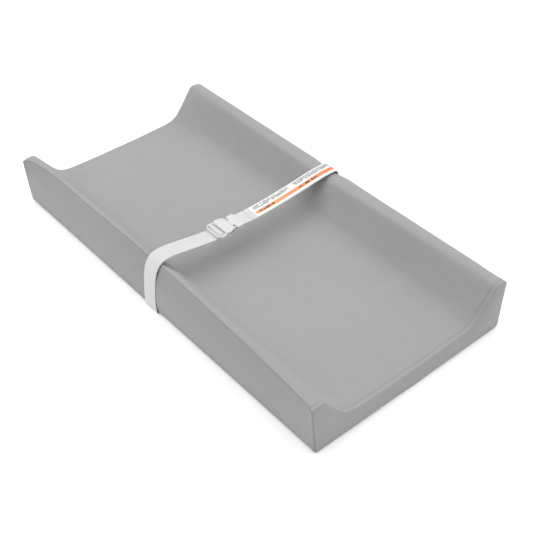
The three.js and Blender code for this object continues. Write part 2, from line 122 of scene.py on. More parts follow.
area_light("key", (0.5, 1.45, 1.85), (0, 0, 0.05), (2.4, 1.8), 16)
area_light("fill", (-0.75, -1.1, 1.2), (0, 0, 0.05), (0.9, 0.9), 3, (1.0, 0.97, 0.92))
area_light("over", (-0.2, -1.0, 1.95), (0, 0.1, 0.05), (1.8, 1.3), 11)

# ------------------------------------------------------------------ node helpers
def new_mat(name):
    m = bpy.data.materials.new(name)
    m.use_nodes = True
    nt = m.node_tree
    bsdf = nt.nodes["Principled BSDF"]
    return m, nt, bsdf


def node(nt, kind, **values):
    n = nt.nodes.new(kind)
    for k, v in values.items():
        if k.startswith("in_"):
            key = k[3:]
            key = int(key) if key.isdigit() else key
            n.inputs[key].default_value = v
        else:
            setattr(n, k, v)
    return n


def math_node(nt, op, a, b=None, clamp=False):
    n = nt.nodes.new("ShaderNodeMath")
    n.operation = op
    n.use_clamp = clamp
    for i, v in enumerate((a, b)):
        if v is None:
            continue
        if isinstance(v, (int, float)):
            n.inputs[i].default_value = v
        else:
            nt.links.new(v, n.inputs[i])
    return n.outputs[0]


def mix_color(nt, fac, a, b):
    n = nt.nodes.new("ShaderNodeMix")
    n.data_type = "RGBA"
    n.blend_type = "MIX"
    if isinstance(fac, (int, float)):
        n.inputs[0].default_value = fac
    else:
        nt.links.new(fac, n.inputs[0])
    for idx, v in ((6, a), (7, b)):
        if isinstance(v, tuple):
            n.inputs[idx].default_value = v
        else:
            nt.links.new(v, n.inputs[idx])
    return n.outputs[2]


def lin(c):
    c = c / 255.0
    return c / 12.92 if c <= 0.04045 else ((c + 0.055) / 1.055) ** 2.4


def srgb(r, g=None, b=None, k=1.0):
    g = r if g is None else g
    b = r if b is None else b
    return (lin(r) * k, lin(g) * k, lin(b) * k, 1.0)


# ------------------------------------------------------------------ materials
def knit_material(name, color, color_dark, pitch=0.0011, bump=0.35, rough=0.92, dots=False, sheen=0.25, painted_shade_mix=False):
    """Fine knit: interlocking rows on the object's own coordinates, with soft larger variation."""
    m, nt, bsdf = new_mat(name)
    tc = nt.nodes.new("ShaderNodeTexCoord")
    sep = nt.nodes.new("ShaderNodeSeparateXYZ")
    nt.links.new(tc.outputs["Object"], sep.inputs[0])
    x, y, z = sep.outputs
    k = 2 * math.pi / pitch
    # on walls Z takes the place of Y; both run in one phase, so that the rows carry round the edges
    yz = math_node(nt, "ADD", y, math_node(nt, "MULTIPLY", z, 0.83))
    row = math_node(nt, "SINE", math_node(nt, "MULTIPLY", x, k))
    tilt = math_node(nt, "MULTIPLY", math_node(nt, "SINE", math_node(nt, "MULTIPLY", x, k / 2)), 0.9)
    stitch = math_node(nt, "SINE", math_node(nt, "ADD", math_node(nt, "MULTIPLY", yz, k * 0.8), tilt))
    weave = math_node(nt, "MULTIPLY", row, stitch)
    fine = node(nt, "ShaderNodeTexNoise", in_2=1400.0, in_3=2.0)
    nt.links.new(tc.outputs["Object"], fine.inputs["Vector"])
    big = node(nt, "ShaderNodeTexNoise", in_2=7.0, in_3=3.0)
    nt.links.new(tc.outputs["Object"], big.inputs["Vector"])
    mid = node(nt, "ShaderNodeTexNoise", in_2=60.0, in_3=3.0)
    nt.links.new(tc.outputs["Object"], mid.inputs["Vector"])
    height = math_node(nt, "ADD", math_node(nt, "MULTIPLY", weave, 0.5), math_node(nt, "MULTIPLY", fine.outputs[0], 0.7))
    fac = math_node(nt, "ADD", math_node(nt, "MULTIPLY", weave, 0.24), math_node(nt, "MULTIPLY", math_node(nt, "SUBTRACT", fine.outputs[0], 0.5), 0.5))
    fac = math_node(nt, "ADD", fac, math_node(nt, "MULTIPLY", math_node(nt, "SUBTRACT", big.outputs[0], 0.5), 0.35))
    fac = math_node(nt, "ADD", fac, math_node(nt, "MULTIPLY", math_node(nt, "SUBTRACT", mid.outputs[0], 0.5), 0.25))
    fac = math_node(nt, "ADD", fac, 0.5, clamp=True)
    col = mix_color(nt, fac, color_dark, color)
    if dots:
        px_ = math_node(nt, "MULTIPLY", math_node(nt, "ADD", math_node(nt, "SINE", math_node(nt, "MULTIPLY", x, 2 * math.pi / 0.008)),
                                                   math_node(nt, "SINE", math_node(nt, "MULTIPLY", y, 2 * math.pi / 0.008))), 0.5)
        dot = math_node(nt, "MULTIPLY", math_node(nt, "SUBTRACT", px_, 0.62), 14.0, clamp=True)
        col = mix_color(nt, dot, col, srgb(120, 120, 120))
        height = math_node(nt, "ADD", height, math_node(nt, "MULTIPLY", dot, 4.0))
    # painted shade: a vertex attribute darkens seam grooves, walls and base edges towards a brownish grey
    if painted_shade_mix:
        cr = nt.nodes.new("ShaderNodeAttribute")
        cr.attribute_name = "seam_and_wall_painted_shade"
        col = mix_color(nt, math_node(nt, "MULTIPLY", cr.outputs["Fac"], 0.62, clamp=True), col, srgb(90, 85, 78))
    nt.links.new(col, bsdf.inputs["Base Color"])
    bm = node(nt, "ShaderNodeBump", in_0=bump, in_1=0.0004)
    nt.links.new(height, bm.inputs["Height"])
    nt.links.new(bm.outputs[0], bsdf.inputs["Normal"])
    bsdf.inputs["Roughness"].default_value = rough
    bsdf.inputs["Specular IOR Level"].default_value = 0.2
    bsdf.inputs["Sheen Weight"].default_value = sheen
    bsdf.inputs["Sheen Roughness"].default_value = 0.6
    return m


def webbing_material(name, color, color_dark, rib=0.0015, warp=0.0012):
    """Woven webbing on UVs in metres: U across, V along."""
    m, nt, bsdf = new_mat(name)
    uv = nt.nodes.new("ShaderNodeUVMap")
    uv.uv_map = "UVMap"
    sep = nt.nodes.new("ShaderNodeSeparateXYZ")
    nt.links.new(uv.outputs[0], sep.inputs[0])
    u, v = sep.outputs[0], sep.outputs[1]
    a = math_node(nt, "SINE", math_node(nt, "MULTIPLY", u, 2 * math.pi / warp))
    shift = math_node(nt, "MULTIPLY", math_node(nt, "SIGN", a), 1.5708)
    b = math_node(nt, "SINE", math_node(nt, "ADD", math_node(nt, "MULTIPLY", v, 2 * math.pi / rib), shift))
    h = math_node(nt, "ADD", math_node(nt, "MULTIPLY", math_node(nt, "ABSOLUTE", a), 0.9), math_node(nt, "MULTIPLY", b, 0.55))
    tc = nt.nodes.new("ShaderNodeTexCoord")
    big = node(nt, "ShaderNodeTexNoise", in_2=25.0, in_3=2.0)
    nt.links.new(tc.outputs["Object"], big.inputs["Vector"])
    fine = node(nt, "ShaderNodeTexNoise", in_2=2200.0, in_3=1.0)
    nt.links.new(tc.outputs["Object"], fine.inputs["Vector"])
    fac = math_node(nt, "ADD", math_node(nt, "MULTIPLY", h, 0.4), math_node(nt, "MULTIPLY", math_node(nt, "SUBTRACT", big.outputs[0], 0.5), 0.5))
    fac = math_node(nt, "ADD", fac, math_node(nt, "MULTIPLY", math_node(nt, "SUBTRACT", fine.outputs[0], 0.5), 0.4))
    fac = math_node(nt, "ADD", fac, 0.25, clamp=True)
    nt.links.new(mix_color(nt, fac, color_dark, color), bsdf.inputs["Base Color"])
    bm = node(nt, "ShaderNodeBump", in_0=0.5, in_1=0.00035)
    nt.links.new(h, bm.inputs["Height"])
    nt.links.new(bm.outputs[0], bsdf.inputs["Normal"])
    bsdf.inputs["Roughness"].default_value = 0.78
    bsdf.inputs["Sheen Weight"].default_value = 0.15
    bsdf.inputs["Sheen Roughness"].default_value = 0.5
    return m


def plastic_material(name, color, rough=0.28, bump=0.04):
    m, nt, bsdf = new_mat(name)
    tc = nt.nodes.new("ShaderNodeTexCoord")
    n1 = node(nt, "ShaderNodeTexNoise", in_2=90.0, in_3=3.0)
    n2 = node(nt, "ShaderNodeTexNoise", in_2=900.0, in_3=2.0)
    for n in (n1, n2):
        nt.links.new(tc.outputs["Object"], n.inputs["Vector"])
    dark = tuple(c * 0.93 for c in color[:3]) + (1.0,)
    nt.links.new(mix_color(nt, n1.outputs[0], dark, color), bsdf.inputs["Base Color"])
    r = math_node(nt, "ADD", rough - 0.06, math_node(nt, "MULTIPLY", n2.outputs[0], 0.14))
    nt.links.new(r, bsdf.inputs["Roughness"])
    bm = node(nt, "ShaderNodeBump", in_0=bump, in_1=0.0002)
    nt.links.new(n2.outputs[0], bm.inputs["Height"])
    nt.links.new(bm.outputs[0], bsdf.inputs["Normal"])
    bsdf.inputs["IOR"].default_value = 1.48
    bsdf.inputs["Subsurface Weight"].default_value = 0.08
    bsdf.inputs["Subsurface Scale"].default_value = 0.002
    return m


def metal_material(name, color, rough=0.3):
    m, nt, bsdf = new_mat(name)
    tc = nt.nodes.new("ShaderNodeTexCoord")
    n2 = node(nt, "ShaderNodeTexNoise", in_2=700.0, in_3=3.0)
    nt.links.new(tc.outputs["Object"], n2.inputs["Vector"])
    dark = tuple(c * 0.8 for c in color[:3]) + (1.0,)
    nt.links.new(mix_color(nt, n2.outputs[0], dark, color), bsdf.inputs["Base Color"])
    nt.links.new(math_node(nt, "ADD", rough - 0.08, math_node(nt, "MULTIPLY", n2.outputs[0], 0.2)), bsdf.inputs["Roughness"])
    bsdf.inputs["Metallic"].default_value = 1.0
    return m


def foam_material(name, color):
    m, nt, bsdf = new_mat(name)
    tc = nt.nodes.new("ShaderNodeTexCoord")
    v = node(nt, "ShaderNodeTexVoronoi", in_2=900.0)
    nt.links.new(tc.outputs["Object"], v.inputs["Vector"])
    dark = tuple(c * 0.7 for c in color[:3]) + (1.0,)
    nt.links.new(mix_color(nt, v.outputs[0], dark, color), bsdf.inputs["Base Color"])
    bm = node(nt, "ShaderNodeBump", in_0=0.6, in_1=0.0005)
    nt.links.new(v.outputs[0], bm.inputs["Height"])
    nt.links.new(bm.outputs[0], bsdf.inputs["Normal"])
    bsdf.inputs["Roughness"].default_value = 0.95
    return m


def label_material(name):
    """White satin ribbon on UVs in metres: U across from -0.015 to 0.015, V along. One orange band, and rows of blank marks that are not letters."""
    m, nt, bsdf = new_mat(name)
    uv = nt.nodes.new("ShaderNodeUVMap")
    uv.uv_map = "UVMap"
    sep = nt.nodes.new("ShaderNodeSeparateXYZ")
    nt.links.new(uv.outputs[0], sep.inputs[0])
    u, v = sep.outputs[0], sep.outputs[1]

    def between(s, lo, hi):
        return math_node(nt, "MULTIPLY", math_node(nt, "GREATER_THAN", s, lo), math_node(nt, "LESS_THAN", s, hi))

    def dashes(seed, scale, cut):
        cell = node(nt, "ShaderNodeTexWhiteNoise", noise_dimensions="1D")
        q = math_node(nt, "FLOOR", math_node(nt, "MULTIPLY", v, scale))
        nt.links.new(math_node(nt, "ADD", q, seed), cell.inputs["W"])
        return math_node(nt, "GREATER_THAN", cell.outputs[0], cut)

    def soft_band(s, lo, hi, edge):
        up = math_node(nt, "MULTIPLY", math_node(nt, "SUBTRACT", s, lo), 1 / edge, clamp=True)
        down = math_node(nt, "MULTIPLY", math_node(nt, "SUBTRACT", hi, s), 1 / edge, clamp=True)
        return math_node(nt, "MULTIPLY", up, down)

    # satin white with an orange band that deepens towards the rail
    col = mix_color(nt, 0.0, srgb(236, 236, 236), srgb(236, 236, 236))
    depth = math_node(nt, "MULTIPLY", v, 1 / 0.19, clamp=True)
    tone = mix_color(nt, depth, srgb(236, 166, 110), srgb(230, 126, 72))
    orange = math_node(nt, "MULTIPLY", soft_band(u, 0.0010, 0.0098, 0.0006), math_node(nt, "GREATER_THAN", v, 0.003))
    col = mix_color(nt, orange, col, tone)
    # three rows of unreadable dark specks on the head-side half, with a gap half-way
    gap = math_node(nt, "SUBTRACT", 1.0, soft_band(v, 0.088, 0.101, 0.001))
    started = math_node(nt, "GREATER_THAN", v, 0.006)
    for lo, hi, seed in ((-0.0118, -0.0100, 3.3), (-0.0087, -0.0069, 17.1), (-0.0056, -0.0038, 29.4)):
        word = math_node(nt, "MULTIPLY", dashes(seed, 1250.0, 0.16), dashes(seed + 7.0, 150.0, 0.06))
        mark = math_node(nt, "MULTIPLY", math_node(nt, "MULTIPLY", between(u, lo, hi), word), math_node(nt, "MULTIPLY", gap, started))
        col = mix_color(nt, mark, col, srgb(84, 86, 90))
    # clusters of dark blocks on the orange band, each led by a small triangle
    for v0, v1, seed in ((0.010, 0.046, 41.7), (0.102, 0.146, 63.1)):
        zone = between(v, v0 + 0.008, v1)
        block = math_node(nt, "MULTIPLY", math_node(nt, "MULTIPLY", between(u, 0.0034, 0.0076), dashes(seed, 620.0, 0.34)), zone)
        tri_h = math_node(nt, "MULTIPLY", math_node(nt, "SUBTRACT", v, v0), 0.42)
        tri = math_node(nt, "MULTIPLY", math_node(nt, "LESS_THAN", math_node(nt, "ABSOLUTE", math_node(nt, "SUBTRACT", u, 0.0055)), tri_h), between(v, v0, v0 + 0.0062))
        both = math_node(nt, "MAXIMUM", block, tri)
        col = mix_color(nt, both, col, srgb(96, 66, 56))
    nt.links.new(col, bsdf.inputs["Base Color"])
    w = math_node(nt, "SINE", math_node(nt, "MULTIPLY", math_node(nt, "ADD", u, v), 2 * math.pi / 0.0005))
    bm = node(nt, "ShaderNodeBump", in_0=0.12, in_1=0.0001)
    nt.links.new(w, bm.inputs["Height"])
    nt.links.new(bm.outputs[0], bsdf.inputs["Normal"])
    bsdf.inputs["Roughness"].default_value = 0.45
    bsdf.inputs["Sheen Weight"].default_value = 0.1
    return m


# the cover takes the painted shade on its seams, walls and base edges
COVER_MAT = knit_material("cover_knit", srgb(165, 164, 164), srgb(146, 145, 145), pitch=0.0023, bump=0.5, painted_shade_mix=True)
BASE_MAT = knit_material("base_nonslip", srgb(140, 140, 140), srgb(123, 123, 123), pitch=0.0018, dots=True, sheen=0.1)
WEB_MAT = webbing_material("webbing_white", srgb(229, 229, 228), srgb(205, 206, 206))
LABEL_MAT = label_material("label_ribbon")
BUCKLE_MAT = plastic_material("buckle_acetal", srgb(216, 216, 215), rough=0.4)
THREAD_MAT = webbing_material("thread", srgb(240, 240, 240), srgb(215, 215, 215), rib=0.0006, warp=0.0004)
GREY_THREAD_MAT = webbing_material("thread_grey", srgb(150, 150, 150), srgb(128, 128, 128), rib=0.0006, warp=0.0004)
TAPE_MAT = knit_material("zip_tape", srgb(150, 150, 150), srgb(128, 128, 128), pitch=0.0007)
COIL_MAT = plastic_material("zip_coil", srgb(160, 160, 158), rough=0.45)
METAL_MAT = metal_material("zip_metal", srgb(196, 198, 200))
FOAM_MAT = foam_material("foam", srgb(240, 234, 215))
LINER_MAT = plastic_material("liner_coated", srgb(168, 168, 168), rough=0.4, bump=0.2)
CARE_MAT = webbing_material("care_label", srgb(246, 246, 246), srgb(236, 236, 236), rib=0.0005, warp=0.0005)

floor_mat, fnt, fb = new_mat("floor")
fn = node(fnt, "ShaderNodeTexNoise", in_2=3.0, in_3=2.0)
ftc = fnt.nodes.new("ShaderNodeTexCoord")
fnt.links.new(ftc.outputs["Object"], fn.inputs["Vector"])
fnt.links.new(mix_color(fnt, fn.outputs[0], (0.86, 0.86, 0.86, 1), (0.88, 0.88, 0.88, 1)), fb.inputs["Base Color"])
fb.inputs["Roughness"].default_value = 0.9
fb.inputs["Specular IOR Level"].default_value = 0.1
fb.inputs["Emission Color"].default_value = (1, 1, 1, 1)
fb.inputs["Emission Strength"].default_value = 0.24


def mesh_object(name, verts, faces, mats, smooth=True, face_mats=None, uvs=None):
    me = bpy.data.meshes.new(name)
    me.from_pydata([tuple(v) for v in verts], [], [tuple(f) for f in faces])
    for m in mats if isinstance(mats, (list, tuple)) else [mats]:
        me.materials.append(m)
    if face_mats is not None:
        me.polygons.foreach_set("material_index", list(face_mats))
    if uvs is not None:
        layer = me.uv_layers.new(name="UVMap")
        idx = np.zeros(len(me.loops), np.int32)
        me.loops.foreach_get("vertex_index", idx)
        layer.data.foreach_set("uv", np.asarray(uvs, np.float32)[idx].ravel())
    me.polygons.foreach_set("use_smooth", [smooth] * len(me.polygons))
    me.update()
    o = bpy.data.objects.new(name, me)
    scene.collection.objects.link(o)
    return o


def bake_modifiers(o):
    """Applies the object's modifiers to its mesh."""
    dg = bpy.context.evaluated_depsgraph_get()
    dg.update()
    me = bpy.data.meshes.new_from_object(o.evaluated_get(dg), preserve_all_data_layers=True, depsgraph=dg)
    o.modifiers.clear()
    o.data = me
    return o


floor = mesh_object("floor", [(-6, -6, 0), (6, -6, 0), (6, 6, 0), (-6, 6, 0)], [(0, 1, 2, 3)], floor_mat, smooth=False)

# ------------------------------------------------------------------ pad cover: one closed quad mesh of loops along X and two end patches
# wall and rail points from the bottom edge up and over, at the +Y side; the near rail is drawn inwards by the strap
FAR_FREE = [(205.3, 27), (206.4, 44), (207.4, 60), (208.4, 76), (209.1, 87), (209.5, 94.5), (206, 97), (200, 99.2), (192, 100.5), (186, 100.3), (182, 98.2), (178.5, 94.5)]
FAR_STRAP = [(205.1, 27), (205.6, 44), (206.2, 60), (206.6, 76), (206.9, 86.5), (206.6, 93.6), (204.6, 96.8), (200, 99.2), (192, 100.3), (186, 100.1), (182, 98.1), (178.5, 94.5)]
NEAR_SEAM = [(-406.5, 209.5), (-392, 197.5), (-355, 192.3), (-320, 189.5), (-180, 189.4), (-75, 187.6), (40, 187.6), (95, 189.2), (155, 192), (215, 194.4),
             (275, 197.4), (335, 201), (392, 204.8), (406.5, 209.5)]
NEAR_WIDE = [(199, 100.3), (192.5, 100.5), (186, 100.2), (181.5, 97.6), (178.5, 94.3), (175, 89.8)]
NEAR_TIGHT = [(184.8, 100.1), (182, 98.6), (180, 96.4), (178, 93.9), (175.8, 91), (173.5, 88)]
NEAR_STRAP = [(204.9, 27), (203.9, 44), (202.2, 59.5), (199.6, 75.5), (195.6, 87), (187.6, 99.4), (184.8, 100.0), (182, 98.5), (180, 96.3), (178, 93.8), (175.8, 90.9), (173.5, 87.9)]


def near_free(x):
    y = float(np.interp(x, [q[0] for q in NEAR_SEAM], [q[1] for q in NEAR_SEAM]))
    lean, m, over = 209.5 - y, min(1, max(0, (204.5 - y) / 17)), max(0, y - 204.5)
    out = [(fy - lean * ((z - 10) / 90) ** 3, z) for fy, z in FAR_FREE[:5]] + [(y, 99.7 - 0.5 * over)]
    for k in range(6):
        w, g = NEAR_WIDE[k], NEAR_TIGHT[k]
        out.append((w[0] + (g[0] - w[0]) * m + (0 if k else over * 0.6), w[1] + (g[1] - w[1]) * m - (0 if k else 0.1 * over)))
    return out


SEAM_I = 5
VALLEY_LINE = [(171, 84.5), (161, 71), (150, 57), (141, 47.5), (131, 42), (118, 39), (90, 37.6), (50, 36.7), (0, 36.5)]


def strap_pull(x):
    d = abs(x - SX_) - (SW / 2 + 1.2)
    return 1.0 if d <= 0 else 0.0 if d >= 28 else 0.5 + 0.5 * math.cos(math.pi * d / 28)


def catmull(points, per=12):
    p = np.array(points, float)
    out = []
    for i in range(len(p) - 1):
        p0 = p[max(i - 1, 0)]
        p1, p2 = p[i], p[i + 1]
        p3 = p[min(i + 2, len(p) - 1)]
        d1 = max(np.linalg.norm(p1 - p0), 1e-6) ** 0.5
        d2 = max(np.linalg.norm(p2 - p1), 1e-6) ** 0.5
        d3 = max(np.linalg.norm(p3 - p2), 1e-6) ** 0.5
        m1 = (p2 - p1) if i == 0 else ((p1 - p0) / d1 - (p2 - p0) / (d1 + d2) + (p2 - p1) / d2) * d2
        m2 = (p2 - p1) if i == len(p) - 2 else ((p2 - p1) / d2 - (p3 - p1) / (d2 + d3) + (p3 - p2) / d3) * d2
        for k in range(per):
            t = k / per
            out.append((2 * t**3 - 3 * t**2 + 1) * p1 + (t**3 - 2 * t**2 + t) * m1 + (-2 * t**3 + 3 * t**2) * p2 + (t**3 - t**2) * m2)
    out.append(p[-1])
    return np.array(out)


def resample(line, stations):
    d = np.r_[0, np.cumsum(np.linalg.norm(np.diff(line, axis=0), axis=1))]
    s = np.asarray(stations) * d[-1]
    return np.stack([np.interp(s, d, line[:, 0]), np.interp(s, d, line[:, 1])], 1)


def half_points(side, x):
    """Points from the lowest wall point over the rail at station x, at the +Y side."""
    w = strap_pull(x)
    free, tight = (FAR_FREE, FAR_STRAP) if side > 0 else (near_free(x), NEAR_STRAP)
    return [tuple((1 - w) * np.array(p) + w * np.array(q)) for p, q in zip(free, tight)]


NH = 60
half_free = catmull(half_points(1, -1000)[SEAM_I:] + VALLEY_LINE)
half_len = np.linalg.norm(np.diff(half_free, axis=0), axis=1).sum()
# finer steps near the seam
st = np.linspace(0, 1, NH + 1)
st = 0.55 * st + 0.45 * st**1.6
st[1], st[2] = 1.2 / half_len, 2.6 / half_len
half_dense = half_free
NWALL = 18
wall_len = 85.0
wall_st = np.r_[0, 1.2, 2.6, np.linspace(6.5, wall_len, NWALL - 7)] / wall_len


def side_lines(side, x):
    """Top line from the seam to the middle, and wall line from the seam down to the base, both for the +Y side."""
    pts = half_points(side, x)
    top = resample(catmull(pts[SEAM_I:] + VALLEY_LINE), st)
    wall = resample(catmull(([(204.2, 10)] + pts[:SEAM_I + 1])[::-1]), wall_st)
    arc_pts = [(194.2 + 10 * math.cos(math.radians(-18 * i)), 10 + 10 * math.sin(math.radians(-18 * i))) for i in range(1, 6)]
    return top, np.vstack([wall, arc_pts])


base_half = sorted(set([0, 4, 8.2, 8.9, 12, 18] + list(np.linspace(24, 148, 36)) + [150.5, 152] + list(np.linspace(156, 192, NH - 36 - 6 - 2)) + [194.2]))
assert len(base_half) == NH + 1, len(base_half)
base_y = np.array([-b for b in base_half[::-1]] + base_half[1:])
BASE = np.stack([base_y, np.zeros(len(base_y))], 1)   # near to far


def loop_at(x):
    """Closed loop: top far to near, near wall down, base near to far, far wall up."""
    top_far, wall_far = side_lines(1, x)
    top_near, wall_near = side_lines(-1, x)
    top_near, wall_near = top_near[::-1] * (-1, 1), wall_near * (-1, 1)
    return np.vstack([top_far, top_near[1:], wall_near[1:], BASE[1:], wall_far[::-1][1:-1]])


LOOP = loop_at(200.0)
NT = 2 * NH + 1
NWL = len(side_lines(1, 200.0)[1]) - 1
NL = len(LOOP)
i_near_seam = NT - 1
i_near_base = NT - 1 + NWL
i_far_base = i_near_base + len(BASE) - 1


def loop_normals(loop):
    nxt, prv = np.roll(loop, -1, 0), np.roll(loop, 1, 0)
    t = nxt - prv
    n = np.stack([t[:, 1], -t[:, 0]], 1)  # loop runs far top -> near top: outward is up
    n /= np.linalg.norm(n, axis=1)[:, None]
    if n[len(loop) // 4, 1] < 0 and n[NT // 2, 1] < 0:
        n = -n
    return n


NRM = loop_normals(LOOP)
arc = np.r_[0, np.cumsum(np.linalg.norm(np.diff(LOOP, axis=0), axis=1))]
is_top = np.zeros(NL, bool)
is_top[:NT] = True
is_wall = np.zeros(NL, bool)
is_wall[NT:i_near_base] = True
is_wall[i_far_base + 1:] = True

RH, RF = 3.6, 3.0          # end roundings, head and foot
xs = [(-X1, 0.0)]
for a in (15, 32, 50, 70, 90):
    xs.append((-X1 + RH * (1 - math.cos(math.radians(a))), 0))
xs = [x for x, _ in xs]
body = list(np.arange(-X1 + 13, SX_ - 52, 7.2)) + [SX_ + s for d in (47, 42, 37, 32.5, 28, 24, 20.5, 17.8, 17.2) for s in (-d, d)] + [SX_ - 12, SX_ - 6, SX_, SX_ + 6, SX_ + 12]
body += list(np.arange(SX_ + 53, X1 - 16, 7.2))
foot = [X1 - 12, X1 - 9.5, X1 - 7.6, X1 - 6.2, X1 - 5, X1 - 3.9, X1 - 2.9, X1 - 1.8, X1 - 0.8, X1]
zipx = [-353.0, -351.5, 364.0, 365.5]      # the foot end leaves room for the pull tab beyond the last tooth
xs = sorted(set(xs + body + foot + zipx))
xs = [x for i, x in enumerate(xs) if i == 0 or x - xs[i - 1] > 0.45]
NXL = len(xs)


def end_inset(x):
    t = x + X1
    if t < RH:
        return RH - math.sqrt(max(RH**2 - (RH - t) ** 2, 0))
    t = X1 - x
    if t < RF:
        return RF - math.sqrt(max(RF**2 - (RF - t) ** 2, 0))
    return 0.0


def noise2(a, b, seed, octaves=3):
    v, amp = 0.0, 1.0
    for _ in range(octaves):
        v += amp * noise.noise(Vector((a, b, seed)))
        a, b, amp = a * 2.03, b * 2.03, amp * 0.5
    return v


def smoothstep(a, b, x):
    t = min(max((x - a) / (b - a), 0.0), 1.0)
    return t * t * (3 - 2 * t)


P = np.zeros((NXL, NL, 3))
for ix, x in enumerate(xs):
    ins = end_inset(x)
    here = loop_at(x)
    loop = here - loop_normals(here) * ins if ins > 0 else here
    P[ix, :, 0] = x
    P[ix, :, 1:] = loop
    # base stays flat except for its own rounded end
    P[ix, i_near_base:i_far_base + 1, 2] = min(ins, 6.0)

# base details: zip channel and the two pockets where the webbing is sewn
for ix, x in enumerate(xs):
    for j in range(i_near_base - 6, i_far_base + 7):
        jj = j % NL
        y, z = P[ix, jj, 1:]
        if -352.5 < x < 365.0 and abs(y) < 8.6 and z < 1:
            P[ix, jj, 2] = 5.5
        if abs(x - SX_) < 17.5 and abs(y) > 149 and z < 2.45:
            P[ix, jj, 2] = 2.45

verts = P.reshape(-1, 3)
quads, fmat = [], []
for ix in range(NXL - 1):
    for j in range(NL):
        a, b = ix * NL + j, ix * NL + (j + 1) % NL
        quads.append((a, b, b + NL, a + NL))
        fmat.append(1 if i_near_base <= j < i_far_base else 0)


def coons(top, bottom, left, right):
    """Grid between four borders. top/bottom: n points; left/right: m points from top to bottom."""
    n, m = len(top), len(left)
    u = np.r_[0, np.cumsum(np.linalg.norm(np.diff(top, axis=0), axis=1))]
    u /= u[-1]
    u = 0.5 * u + 0.5 * np.linspace(0, 1, n)
    v = np.r_[0, np.cumsum(np.linalg.norm(np.diff(left, axis=0), axis=1))]
    v /= v[-1]
    g = np.zeros((m, n, 3))
    for i in range(m):
        for j in range(n):
            U, V = u[j], v[i]
            g[i, j] = ((1 - V) * top[j] + V * bottom[j] + (1 - U) * left[i] + U * right[i]
                       - ((1 - U) * (1 - V) * top[0] + U * (1 - V) * top[-1] + (1 - U) * V * bottom[0] + U * V * bottom[-1]))
    return g


extra = []
nv = len(verts)
for ix, sign in ((0, -1), (NXL - 1, 1)):
    ring = P[ix]
    top = ring[:NT]
    left = ring[[0] + list(range(NL - 1, i_far_base - 1, -1))]
    right = ring[i_near_seam:i_near_base + 1]
    bottom = ring[i_near_base:i_far_base + 1][::-1]
    g = coons(top, bottom, left, right)
    m, n = g.shape[:2]
    ids = np.zeros((m, n), int)
    for i in range(m):
        for j in range(n):
            if i == 0:
                ids[i, j] = ix * NL + j
            elif i == m - 1:
                ids[i, j] = ix * NL + (i_far_base - j)
            elif j == 0:
                ids[i, j] = ix * NL + (NL - i)
            elif j == n - 1:
                ids[i, j] = ix * NL + i_near_seam + i
            else:
                ids[i, j] = nv + len(extra)
                q = g[i, j].copy()
                extra.append(q)
    for i in range(m - 1):
        for j in range(n - 1):
            f = (ids[i, j], ids[i, j + 1], ids[i + 1, j + 1], ids[i + 1, j])
            quads.append(f if sign > 0 else f[::-1])
            fmat.append(0)
verts = np.vstack([verts, np.array(extra)])
cover = mesh_object("pad_cover", verts * MM, quads, [COVER_MAT, BASE_MAT], face_mats=fmat)
bm = bmesh.new()
bm.from_mesh(cover.data)
bmesh.ops.recalc_face_normals(bm, faces=bm.faces)
open_edges = sum(1 for e in bm.edges if len(e.link_faces) != 2)
print("cover verts", len(bm.verts), "open edges", open_edges, "volume", round(bm.calc_volume(signed=True) * 1000, 2), "l")
if bm.calc_volume(signed=True) < 0:
    bmesh.ops.reverse_faces(bm, faces=bm.faces)
bm.to_mesh(cover.data)
bm.free()

# ------------------------------------------------------------------ cloth: the cover is drawn over the foam and pressed out between its seams
rest = verts.copy()
n_loops = NXL * NL
pin = np.zeros(len(verts))
for ix in range(NXL):
    for j in range(NL):
        v = ix * NL + j
        if j in (0, i_near_seam):
            pin[v] = 1.0
        elif i_near_base - 2 <= j <= i_far_base + 2:
            pin[v] = 1.0
        if ix in (0, NXL - 1):
            pin[v] = max(pin[v], 0.9)
group = cover.vertex_groups.new(name="pin")
for v in np.nonzero(pin > 0)[0]:
    group.add([int(v)], float(pin[v]), "REPLACE")
cloth = cover.modifiers.new("Cloth", "CLOTH")
cs = cloth.settings
cs.quality = 4
cs.mass = 0.25
cs.tension_stiffness = cs.compression_stiffness = 18
cs.shear_stiffness = 8
cs.bending_stiffness = 1.2
cs.use_pressure = True
cs.uniform_pressure_force = 4.0
cs.vertex_group_mass = "pin"
cs.effector_weights.gravity = 0
cloth.collision_settings.use_collision = False
cloth.collision_settings.use_self_collision = False
scene.frame_start, scene.frame_end = 1, 20
cloth.point_cache.frame_start, cloth.point_cache.frame_end = 1, 20
for f in range(1, 21):
    scene.frame_set(f)
bake_modifiers(cover)
scene.frame_set(1)
sim = np.zeros(len(verts) * 3)
cover.data.vertices.foreach_get("co", sim)
sim = sim.reshape(-1, 3) / MM
move = sim - rest
length = np.linalg.norm(move, axis=1)
print("cloth moved max", round(float(length.max()), 2), "mean", round(float(length.mean()), 2))
print("valley z move", round(float(move[(NXL // 3) * NL + NT // 2, 2]), 2), "near wall y move", round(float(move[(NXL // 3) * NL + i_near_seam + 8, 1]), 2))
cap = 3.0
# soft cap: long moves are drawn back towards the foam
scale = np.where(length > 1e-9, cap * np.tanh(length / cap) / np.maximum(length, 1e-9), 1.0)
scale[length < 1e-9] = 1.0
verts = rest + move * scale[:, None] * 0.7
near_seam = np.zeros(len(verts))
for ix in range(NXL):
    for j in range(NL):
        ds = min(min(abs(arc[j] - arc[js]), abs(arc[-1] + 1.5 - abs(arc[j] - arc[js]))) for js in (0, i_near_seam))
        near_seam[ix * NL + j] = math.exp(-(ds / 6.0) ** 2)
verts = verts + (rest - verts) * near_seam[:, None] * 0.9
# the pad keeps its sewn length and rests on its base
verts[:, 0] = np.clip(verts[:, 0], -X1 - 1.5, X1 + 1.5)
verts[:, 2] = np.maximum(verts[:, 2], 0)

